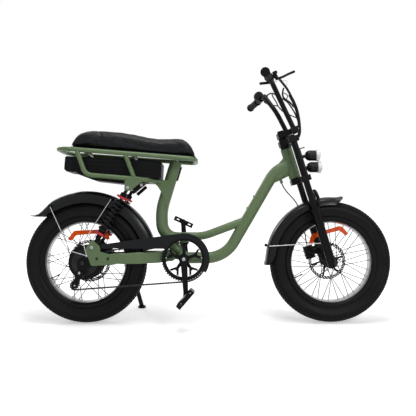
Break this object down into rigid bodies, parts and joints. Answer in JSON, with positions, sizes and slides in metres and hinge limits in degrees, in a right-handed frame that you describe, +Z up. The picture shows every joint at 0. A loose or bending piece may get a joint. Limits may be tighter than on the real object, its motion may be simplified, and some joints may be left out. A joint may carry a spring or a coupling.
{
  "type": "fat tire electric bicycle",
  "caption": "Electric bicycle with fat knobbly tyres, low curved frame, long bench seat over a battery, twin rear shocks, double-crown fork and side stand.",
  "frame": {"origin": "on the floor, at the centre of the parked bike's bounding box", "axes": "+X forward, +Y to the rider's left, +Z up; the bike leans to +Y onto its side stand"},
  "size_m": [1.72, 0.7111, 1.1518],
  "materials": {
    "frame_green": "satin",
    "black_metal": "satin",
    "black_alloy": "satin",
    "bright_steel": "satin",
    "tyre": "matte",
    "rim": "satin",
    "plastic": "matte",
    "mudguard": "gloss",
    "cushion": "satin",
    "rubber": "matte",
    "red_ring": "satin",
    "orange": "gloss",
    "lens": "clear"
  },
  "bodies": {
    "frame": {"main_frame": "frame_green", "seat_rails": "frame_green", "seat_pan": "plastic", "seat_cushion": "cushion", "battery_case": "plastic", "battery_tray": "plastic", "swingarm": "frame_green", "rear_axle_plates": "black_metal", "rear_axle": "bright_steel", "rear_shock_dampers": "black_metal", "rear_shock_springs": "black_metal", "rear_shock_collars": "red_ring", "rear_mudguard": "mudguard", "rear_mudguard_stays": "bright_steel", "chain": "bright_steel", "chain_guard": "plastic", "rear_derailleur": "black_metal", "rear_caliper": "black_alloy", "stand_bracket": "black_metal", "cable_port": "black_metal", "shock_brace": "black_metal", "seat_tube_strip": "black_metal", "dropout_bolts": "bright_steel"},
    "steering": {"fork_lowers": "black_alloy", "fork_stanchions": "black_metal", "fork_lower_crown": "black_alloy", "fork_upper_crown": "black_alloy", "handlebar_clamp": "black_alloy", "handlebar": "black_metal", "handlebar_grips": "rubber", "brake_levers": "black_alloy", "front_axle": "bright_steel", "front_mudguard": "mudguard", "front_mudguard_stays": "bright_steel", "front_caliper": "black_alloy", "headlight": "black_alloy", "headlight_lenses": "lens", "handlebar_cables": "rubber", "bar_controls": "plastic", "front_brake_hose": "rubber", "mudguard_bracket": "black_metal"},
    "front_wheel": {"front_tyre": "tyre", "front_rim": "rim", "front_hub": "black_alloy", "front_brake_disc": "bright_steel", "front_reflector": "orange"},
    "rear_wheel": {"rear_tyre": "tyre", "rear_rim": "rim", "rear_hub_motor": "black_alloy", "rear_brake_disc": "bright_steel", "rear_cogs": "bright_steel", "rear_reflector": "orange"},
    "crankset": {"chainring": "black_alloy", "crank_arms": "black_alloy"},
    "pedal_right": {"pedal_right": "plastic"},
    "pedal_left": {"pedal_left": "plastic"},
    "side_stand": {"side_stand": "black_metal"}
  },
  "joints": [
    {"name": "steering", "type": "hinge", "parent": "frame", "child": "steering", "pos_m": [0.41095, -0.04221, 0.67796], "axis": [-0.2924, 0.0946, 0.9516], "range_deg": [-40, 40], "deforming": ["front_brake_hose"]},
    {"name": "front_wheel_spin", "type": "hinge", "parent": "steering", "child": "front_wheel", "pos_m": [0.575, -0.08134, 0.28459], "axis": [0, 0.9951, -0.099], "continuous": true},
    {"name": "rear_wheel_spin", "type": "hinge", "parent": "frame", "child": "rear_wheel", "pos_m": [-0.575, -0.08134, 0.28459], "axis": [0, 0.9951, -0.099], "continuous": true},
    {"name": "crank_spin", "type": "hinge", "parent": "frame", "child": "crankset", "pos_m": [-0.114, -0.07956, 0.3025], "axis": [0, 0.9951, -0.099], "continuous": true},
    {"name": "pedal_right_spin", "type": "hinge", "parent": "crankset", "child": "pedal_right", "pos_m": [-0.10362, -0.25357, 0.14929], "axis": [0, 0.9951, -0.099], "continuous": true},
    {"name": "pedal_left_spin", "type": "hinge", "parent": "crankset", "child": "pedal_left", "pos_m": [-0.12438, 0.09446, 0.45571], "axis": [0, 0.9951, -0.099], "continuous": true},
    {"name": "side_stand_fold", "type": "hinge", "parent": "frame", "child": "side_stand", "pos_m": [-0.4, 0.00664, 0.24971], "axis": [0.1811, 0.8472, 0.4995], "range_deg": [0, 95]}
  ]
}
